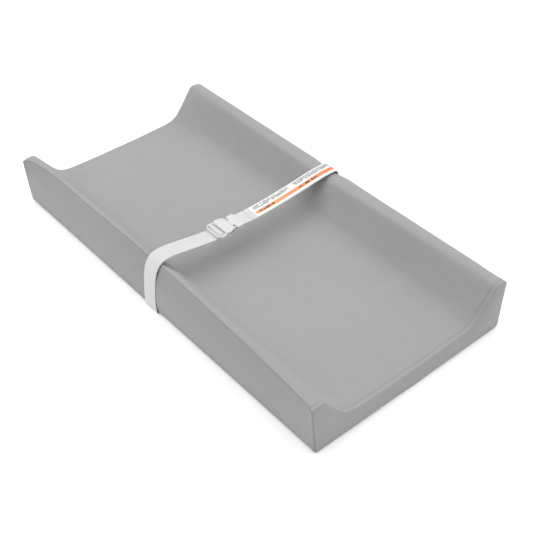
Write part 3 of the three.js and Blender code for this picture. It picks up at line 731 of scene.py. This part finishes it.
# ------------------------------------------------------------------ fabric detail on the fine grid: seams, strap pinch, soft creases
lo_n = {}
me = cover.data
me.vertices.foreach_set("co", (verts * MM).ravel())
me.update()
normals = np.zeros(len(verts) * 3)
me.vertices.foreach_get("normal", normals)
normals = normals.reshape(-1, 3)
disp = np.zeros(len(verts))
for ix, x in enumerate(xs):
    for j in range(NL):
        v = ix * NL + j
        y, z = rest[v, 1], rest[v, 2]
        base_zone = i_near_base - 3 <= j <= i_far_base + 3
        d = 0.0
        if not base_zone:
            # soft waviness of the knit over the foam
            d += 0.55 * noise2(x / 95.0, arc[j] / 80.0, 3.0) * (1.0 if is_top[j] else 0.7)
            # seam: a narrow valley with a slight roll each side, gathered a little by the thread
            for js in (0, i_near_seam):
                ds = min(abs(arc[j] - arc[js]), abs(arc[-1] + 1.5 - abs(arc[j] - arc[js])))
                if ds < 16:
                    gather = 0.25 * math.sin(x / 2.9 + 2.0 * noise2(x / 60.0, js, 9.0)) + 0.2 * noise2(x / 9.0, js, 5.0, 2)
                    d += -0.5 * math.exp(-(ds / 0.9) ** 2) + (0.15 + 0.3 * gather) * math.exp(-((ds - 2.8) / 1.8) ** 2)
            # tension creases that run out from the tight webbing over the rail and down the wall
            dx = abs(x - SX_)
            if dx > 16 and abs(y) > 150 and z > 30:
                near = 1.0 if y < 0 else 0.45
                fan = math.exp(-((dx - 30) / 24.0) ** 2) * smoothstep(30, 70, z)
                d += near * 0.7 * fan * math.sin((z if abs(y) > 195 else 95 + (205 - abs(y))) / 5.6 + 0.05 * dx + (0.8 if x > SX_ else 0.0))
            if dx < 17.4 and not is_top[j]:
                d = min(d, 0.1)
            elif dx < 17.4 and abs(y) > 150:
                d = min(d, 0.15)
            # foot-end seam: a soft fold at the edge, then the wavering needle line
            t = X1 - x
            if is_top[j]:
                amp = 1.0 + 0.45 * noise2(y / 30.0, 0.0, 11.0, 2)
                d += 0.4 * amp * math.exp(-((t - 4.4) / 3.2) ** 2) - 0.45 * math.exp(-((t - 8.2 - 0.9 * noise2(y / 45.0, 2.0, 13.0, 2)) / 1.7) ** 2)
                # a longer crease that opens towards the far corner
                far = smoothstep(20, 150, y)
                d -= 0.8 * far * math.exp(-((t - 15 - 6 * far) / 5.0) ** 2)
                # pulls at the corners of the rails
                for yc in (-176, 176):
                    r = math.hypot(x - (X1 - 10), (y - yc) * 0.7)
                    if r < 90:
                        ang = math.atan2(y - yc, X1 - x + 4)
                        d += 0.65 * math.exp(-((r - 18) / 26.0) ** 2) * math.sin(6.5 * ang + (0.6 if yc > 0 else 2.1))
            # head end, a little softer
            t = x + X1
            if is_top[j] and t < 60:
                d += 0.5 * math.sin(y / 11.0 + 1.5 * noise2(y / 40.0, 1.0, 2.0)) * math.exp(-((t - 16) / 16.0) ** 2)
        disp[v] = d
for v in range(n_loops, len(verts)):
    x, y, z = rest[v]
    sgn = 1 if x > 0 else -1
    ztop = np.interp(abs(y), half_dense[::-1, 0], half_dense[::-1, 1])
    edge = min(z, ztop - z, 205 - abs(y))
    bulge = smoothstep(0, 28, edge)
    disp[v] = 1.6 * bulge + 0.45 * noise2(y / 70.0, z / 40.0, 7.0 + sgn) * bulge - 0.5 * math.exp(-(max(edge, 0) / 1.4) ** 2)
total = ((verts - rest) * normals).sum(1) + disp
print("thickness change: min", round(float(total.min()), 2), "mean", round(float(total.mean()), 2), "max", round(float(total.max()), 2), "valley normal z", round(float(normals[(NXL // 3) * NL + NT // 2, 2]), 2))
# never thinner than the layers below, and under the webbing no prouder than it
floor_d = np.where(np.abs(np.abs(rest[:, 0]) - X1) < 9, -0.25, -0.85)
disp += np.maximum(floor_d - total, 0)
for ix, x in enumerate(xs):
    if abs(x - SX_) < 17.4:
        for j in range(NL):
            v = ix * NL + j
            if abs(rest[v, 1]) > 175:
                disp[v] -= max(((verts[v] - rest[v]) * normals[v]).sum() + disp[v] - 0.1, 0)
verts2 = verts + normals * disp[:, None]
# painted shade: dark lines by how deep each vertex sits in a sewn seam, every wall darker and darker still towards the
# base, and the end patches darker towards the base
seam_and_wall_painted_shade = np.zeros(len(verts))
for ix, x in enumerate(xs):
    for j in range(NL):
        v = ix * NL + j
        ds = min(min(abs(arc[j] - arc[js]), abs(arc[-1] + 1.5 - abs(arc[j] - arc[js]))) for js in (0, i_near_seam))
        c = 0.75 * math.exp(-(ds / 0.9) ** 2)
        t = X1 - x
        if is_top[j]:
            c = max(c, (0.75 - 0.25 * smoothstep(120, 185, abs(y))) * math.exp(-((t - 8.0 - 0.9 * noise2(y / 45.0, 2.0, 13.0, 2)) / 1.2) ** 2), 0.12 * math.exp(-((t - 0.2) / 0.8) ** 2))
        elif abs(arc[j]) > 0 and not (i_near_base < j < i_far_base):
            c = max(c, 0.8 * math.exp(-(min(t, x + X1) / 0.9) ** 2))
        # painted shade: every wall is darker, and more so near the base
        if not is_top[j] and not (i_near_base < j < i_far_base):
            c = max(c, 0.3 + 0.45 * (1 - smoothstep(2, 30, rest[v, 2])))
        seam_and_wall_painted_shade[v] = c
# painted shade: the end patches darken towards the base
for v in range(n_loops, len(verts)):
    y, z = rest[v, 1:]
    seam_and_wall_painted_shade[v] = 0.1 + 0.2 * (1 - smoothstep(2, 26, z))
layer = me.attributes.new("seam_and_wall_painted_shade", "FLOAT", "POINT")
layer.data.foreach_set("value", seam_and_wall_painted_shade.astype(np.float32))
verts2[:, 2] = np.maximum(verts2[:, 2], 0.0)
me.vertices.foreach_set("co", (verts2 * MM).ravel())
me.update()
sub = cover.modifiers.new("Subdivision", "SUBSURF")
sub.levels = sub.render_levels = 1
bake_modifiers(cover)
co = np.zeros(len(cover.data.vertices) * 3)
cover.data.vertices.foreach_get("co", co)
co = co.reshape(-1, 3)
co[:, 2] = np.maximum(co[:, 2], 0.0)
cover.data.vertices.foreach_set("co", co.ravel())
cover.data.update()
cover.data.polygons.foreach_set("use_smooth", [True] * len(cover.data.polygons))
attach(cover, "root")
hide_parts("cover_top_panel", "cover_side_far", "cover_side_near", "cover_end_foot", "cover_end_head", "cover_base_far", "cover_base_near")

# ------------------------------------------------------------------ webbing
def ribbon(name, line, width, thick, mats, xc=None, step=2.0, across=10, round_edge=True, v0=0.0):
    """A flat band along a line in (Y, Z), with its width along X. UVs are metres: U across, V along."""
    line = np.array(line, float)
    d = np.r_[0, np.cumsum(np.linalg.norm(np.diff(line, axis=0), axis=1))]
    n = max(int(d[-1] / step), 8)
    s = np.linspace(0, d[-1], n + 1)
    pts = np.stack([np.interp(s, d, line[:, 0]), np.interp(s, d, line[:, 1])], 1)
    tan = np.gradient(pts, axis=0)
    tan /= np.linalg.norm(tan, axis=1)[:, None]
    nor = np.stack([-tan[:, 1], tan[:, 0]], 1)
    r = thick / 2 * 0.9
    sec, us = [], []
    for k in range(across + 1):
        a = -width / 2 + r + (width - 2 * r) * k / across
        sec.append((a, thick / 2))
    for ang in (60, 20, -20, -60):
        sec.append((width / 2 - r + r * math.cos(math.radians(ang)), thick / 2 * math.sin(math.radians(ang))))
    for k in range(across, -1, -1):
        a = -width / 2 + r + (width - 2 * r) * k / across
        sec.append((a, -thick / 2))
    for ang in (-120, -160, 160, 120):
        sec.append((-width / 2 + r + r * math.cos(math.radians(ang)), thick / 2 * math.sin(math.radians(ang))))
    m = len(sec)
    V, F, UV = [], [], []
    for i, (p, nn) in enumerate(zip(pts, nor)):
        cx = SX_ if xc is None else xc(s[i], p)
        for a, b in sec:
            V.append(((cx + a) * MM, (p[0] + nn[0] * b) * MM, (p[1] + nn[1] * b) * MM))
            UV.append((a * MM, (s[i] + v0) * MM))
    for i in range(n):
        for k in range(m):
            a, b = i * m + k, i * m + (k + 1) % m
            F.append((a, a + m, b + m, b))
    # end caps as strips between top and bottom rows
    for base, flip in ((0, False), (n * m, True)):
        ring = list(range(base, base + m))
        topr = ring[: across + 1]
        rightr = ring[across + 1: across + 5]
        botr = ring[across + 5: 2 * across + 6][::-1]
        leftr = ring[2 * across + 6:]
        faces = [(topr[k], topr[k + 1], botr[k + 1], botr[k]) for k in range(across)]
        faces.append((topr[-1], *rightr, botr[-1]))
        faces.append((botr[0], *leftr, topr[0]))
        F += [f if not flip else f[::-1] for f in faces]
    o = mesh_object(name, V, F, mats, uvs=UV)
    bm = bmesh.new()
    bm.from_mesh(o.data)
    bmesh.ops.recalc_face_normals(bm, faces=bm.faces)
    bm.to_mesh(o.data)
    bm.free()
    return o


def dense(points, per=8):
    return catmull(points, per)


hem = [(160, 1.15), (194, 1.15), (199.6, 1.15), (202.6, 1.9), (204.9, 4.4), (206.1, 10)]
side_run = hem + [(206.7, 27), (207.3, 44), (207.9, 60), (208.3, 76), (208.5, 86), (208.2, 93), (206.9, 98.2), (203.8, 102.3), (199, 104), (192, 104.4), (186, 104.5)]
near_side = hem + [(206.3, 27), (205.5, 42), (204, 57), (202.7, 68), (201, 78), (198.3, 88), (194.2, 96.5), (188.6, 102.8), (181.5, 106.6)]
near_air = [(-173, 108.1), (-162, 107.7), (-150, 105.9), (-139, 103.8), (-125, 101.2), (-112, 98.8), (-98, 96.2), (-88, 94.4), (-79, 93.1)]
ladder = [(-73.5, bz(-2.25)), (-68.2, bz(-2.3)), (-66.1, bz(-1.7)), (-64.9, bz(0)), (-64.2, bz(1.8)), (-62.6, bz(3.0)), (-60, bz(3.25)),
          (-57.5, bz(2.9)), (-56.1, bz(1.5)), (-55.65, bz(-0.6)), (-56, bz(-2.6)), (-57.6, bz(-4.2)), (-60, bz(-4.7)), (-67, bz(-4.85)),
          (-74, bz(-4.75)), (-82, bz(-3.9)), (-92, bz(-2.4)), (-104, bz(-0.4))]
near_line = [(-y, z) for y, z in near_side] + near_air + ladder
air_top = [(8.4, 93.4), (30, 93.2), (55, 94.2), (80, 95.8), (105, 97.8), (130, 100.2), (150, 102.4), (168, 104), (178, 104.6), (185.6, 104.55)]
loop_line = [(8, 93.4), (-6, 94.1), (-11, bz(0.3)), (-14, bz(0.7)), (-17, bz(0.75)), (-18.6, bz(0.1)), (-19.3, bz(-1.6)), (-18.7, bz(-3.2)),
             (-17, bz(-3.95)), (-14.5, bz(-4)), (-11, bz(-3.8)), (-6, bz(-3.3)), (8, bz(-3.3))]

near_web = ribbon("strap_webbing_near", dense(near_line), SW, ST, WEB_MAT, step=1.6)
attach(near_web, "root")
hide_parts("strap_near_run")
far_side = ribbon("strap_webbing_far_side", dense(side_run), SW, ST, WEB_MAT, step=1.8)
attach(far_side, "root")
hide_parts("strap_far_side")
far_run = ribbon("strap_webbing_far", dense(air_top), SW, ST, WEB_MAT, step=1.8)
loop_web = ribbon("strap_webbing_loop", dense(loop_line), SW, ST, WEB_MAT, step=1.0)
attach(loop_web, "plug")
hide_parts("strap_far_loop")
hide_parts("strap_far_run")
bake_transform(far_run)

# label ribbon
def offset_line(line, d):
    line = np.array(line, float)
    t = np.gradient(line, axis=0)
    t /= np.linalg.norm(t, axis=1)[:, None]
    return line + np.stack([-t[:, 1], t[:, 0]], 1) * d


air_dense = dense(air_top)
side_dense = dense(side_run)[::-1]
over = side_dense[side_dense[:, 1] > 100.0]
over = over[over[:, 0] < 207.9]
lab = np.vstack([air_dense[4:], over[2:]])
lab = offset_line(lab, ST / 2 + 0.3)
if lab[0, 1] < 93:
    lab = np.vstack([air_dense[4:], over[2:]])
    lab = offset_line(lab, -(ST / 2 + 0.3))
label = ribbon("label_ribbon_print", lab, 30.0, 0.45, LABEL_MAT, step=1.5, across=14)
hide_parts("label_ribbon")
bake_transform(label)

# ------------------------------------------------------------------ moulded buckle: the CAD solids, remeshed so that every edge has a moulded radius
def moulded(node_name, name, voxel, smooth, body, shape=None, blend_to=None):
    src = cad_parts[node_name]
    o = bpy.data.objects.new(name, src.data.copy())
    scene.collection.objects.link(o)
    o.data.materials.clear()
    o.data.materials.append(BUCKLE_MAT)
    w = o.modifiers.new("Weld", "WELD")
    w.merge_threshold = 1e-5
    r = o.modifiers.new("Remesh", "REMESH")
    r.mode = "VOXEL"
    r.voxel_size = voxel
    r.use_smooth_shade = True
    s = o.modifiers.new("Smooth", "SMOOTH")
    s.factor, s.iterations = 0.5, smooth
    bake_modifiers(o)
    if shape:
        c = np.zeros(len(o.data.vertices) * 3)
        o.data.vertices.foreach_get("co", c)
        c = c.reshape(-1, 3) / MM
        c = shape(c)
        o.data.vertices.foreach_set("co", (c * MM).ravel())
        o.data.update()
    o.data.polygons.foreach_set("use_smooth", [True] * len(o.data.polygons))
    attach(o, body)
    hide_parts(node_name)
    return o


def socket_shape(c):
    v = (c[:, 0] - SX_) / 22.0
    u = (c[:, 1] + 43.0) / 13.5
    top = np.clip((c[:, 2] - bz(3.4)) / 2.0, 0, 1)
    dome = np.clip(1 - v**2, 0, 1) * np.clip(1 - u**2, 0, 1)
    c[:, 2] += 1.9 * top * dome
    return c


vox = 0.0004
moulded("buckle_socket", "buckle_socket_body", vox, 6, "root", socket_shape)
moulded("buckle_plug", "buckle_plug_body", vox, 5, "plug")
moulded("buckle_prong_foot", "buckle_prong_foot_arm", vox * 0.8, 4, "prong_foot")
moulded("buckle_prong_head", "buckle_prong_head_arm", vox * 0.8, 4, "prong_head")

# ------------------------------------------------------------------ stitches
def stitches(name, segs, r, mat, body, sides=6):
    """Each stitch is a small closed thread of round section, thicker in the middle."""
    V, F = [], []
    for a, b, up in segs:
        a, b, up = np.array(a, float), np.array(b, float), np.array(up, float)
        t = b - a
        L = np.linalg.norm(t)
        t /= L
        s = np.cross(t, up)
        s /= np.linalg.norm(s)
        base = len(V)
        rings = [(0.06, 0.45, -0.5), (0.25, 0.9, 0.1), (0.5, 1.0, 0.35), (0.75, 0.9, 0.1), (0.94, 0.45, -0.5)]
        for f, k, h in rings:
            c = a + t * L * f + up * h * r
            for q in range(sides):
                g = 2 * math.pi * q / sides
                V.append((c + (s * math.cos(g) + up * math.sin(g)) * r * k) * MM)
        V.append((a + up * -0.6 * r) * MM)
        V.append((b + up * -0.6 * r) * MM)
        i0, i1 = len(V) - 2, len(V) - 1
        for k in range(len(rings) - 1):
            for q in range(sides):
                p, n_ = base + k * sides + q, base + k * sides + (q + 1) % sides
                F.append((p, n_, n_ + sides, p + sides))
        last = base + (len(rings) - 1) * sides
        for q in range(sides):
            F.append((base + (q + 1) % sides, base + q, i0))
            F.append((last + q, last + (q + 1) % sides, i1))
    o = mesh_object(name, V, F, mat, uvs=[(v[0], v[1]) for v in V])
    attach(o, body)
    return o


def seam_run(p0, p1, up, pitch=3.0, fill=0.72):
    p0, p1 = np.array(p0, float), np.array(p1, float)
    L = np.linalg.norm(p1 - p0)
    n = max(int(L / pitch), 1)
    t = (p1 - p0) / n
    return [(p0 + t * i, p0 + t * (i + fill), up) for i in range(n)]


# bar of stitching across the doubled webbing, by the ribbon's end
bt = []
for row in (4.6, 6.4):
    zt = 93.43 + ST / 2 + 0.12
    bt += seam_run((SX_ - 13, row, zt), (SX_ + 13, row, zt), (0, 0, 1), pitch=1.9)
stitches("strap_loop_stitching", bt, 0.28, THREAD_MAT, "plug")
# box and cross that hold the strap ends, seen from below
for s, side in ((-1, "near"), (1, "far")):
    z = 0.33
    y0, y1 = s * 163, s * 188
    x0, x1 = SX_ - 12.5, SX_ + 12.5
    segs = []
    for a, b in (((x0, y0), (x1, y0)), ((x1, y0), (x1, y1)), ((x1, y1), (x0, y1)), ((x0, y1), (x0, y0)), ((x0, y0), (x1, y1)), ((x1, y0), (x0, y1))):
        segs += seam_run((*a, z), (*b, z), (0, 0, -1), pitch=2.8)
    stitches(f"strap_end_stitching_{side}", segs, 0.24, THREAD_MAT, "root")

# ------------------------------------------------------------------ zip coil, tape and metal
def coil(name, sgn, replaces):
    pitch, y_c, z_c = 3.0, 1.7 * sgn, 3.5
    n = int((2 * ZX - 12) / pitch)
    pts, per = [], 8
    for i in range(n * per + 1):
        a = 2 * math.pi * i / per
        pts.append((-ZX + 6 + pitch * i / per, y_c + 0.62 * math.cos(a), z_c + 0.52 * math.sin(a)))
    pts = np.array(pts)
    t = np.gradient(pts, axis=0)
    t /= np.linalg.norm(t, axis=1)[:, None]
    ref = np.array([1.0, 0, 0])
    s = np.cross(t, ref)
    s /= np.linalg.norm(s, axis=1)[:, None]
    b = np.cross(t, s)
    V, F, k = [], [], 5
    for p, ss, bb in zip(pts, s, b):
        for q in range(k):
            g = 2 * math.pi * q / k
            V.append((p + (ss * math.cos(g) + bb * math.sin(g)) * 0.24) * MM)
    for i in range(len(pts) - 1):
        for q in range(k):
            a0, a1 = i * k + q, i * k + (q + 1) % k
            F.append((a0, a0 + k, a1 + k, a1))
    F.append(tuple(range(k)))
    F.append(tuple(range((len(pts) - 1) * k, len(pts) * k))[::-1])
    o = mesh_object(name, V, F, COIL_MAT)
    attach(o, "root")
    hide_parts(replaces)


coil("zip_teeth_near", -1, "zip_coil_near")
coil("zip_teeth_far", 1, "zip_coil_far")

assign = {
    "zip_tape_near": TAPE_MAT, "zip_tape_far": TAPE_MAT, "zip_slider": METAL_MAT, "zip_pull_tab": METAL_MAT, "zip_stop_head": METAL_MAT,
    "zip_stop_foot": METAL_MAT, "foam_slab": FOAM_MAT, "foam_rail_far": FOAM_MAT, "foam_rail_near": FOAM_MAT, "liner_top": LINER_MAT,
    "liner_bottom": LINER_MAT, "liner_end_foot": LINER_MAT, "liner_end_head": LINER_MAT, "strap_patch_near": BASE_MAT, "strap_patch_far": BASE_MAT,
    "care_label": CARE_MAT,
}
for name, m in assign.items():
    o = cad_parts[name]
    o.data.materials.clear()
    o.data.materials.append(m)
for name in ("zip_slider", "zip_pull_tab", "zip_stop_head", "zip_stop_foot"):
    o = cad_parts[name]
    bv = o.modifiers.new("Bevel", "BEVEL")
    bv.width, bv.segments, bv.limit_method, bv.angle_limit = 0.00012, 2, "ANGLE", math.radians(40)
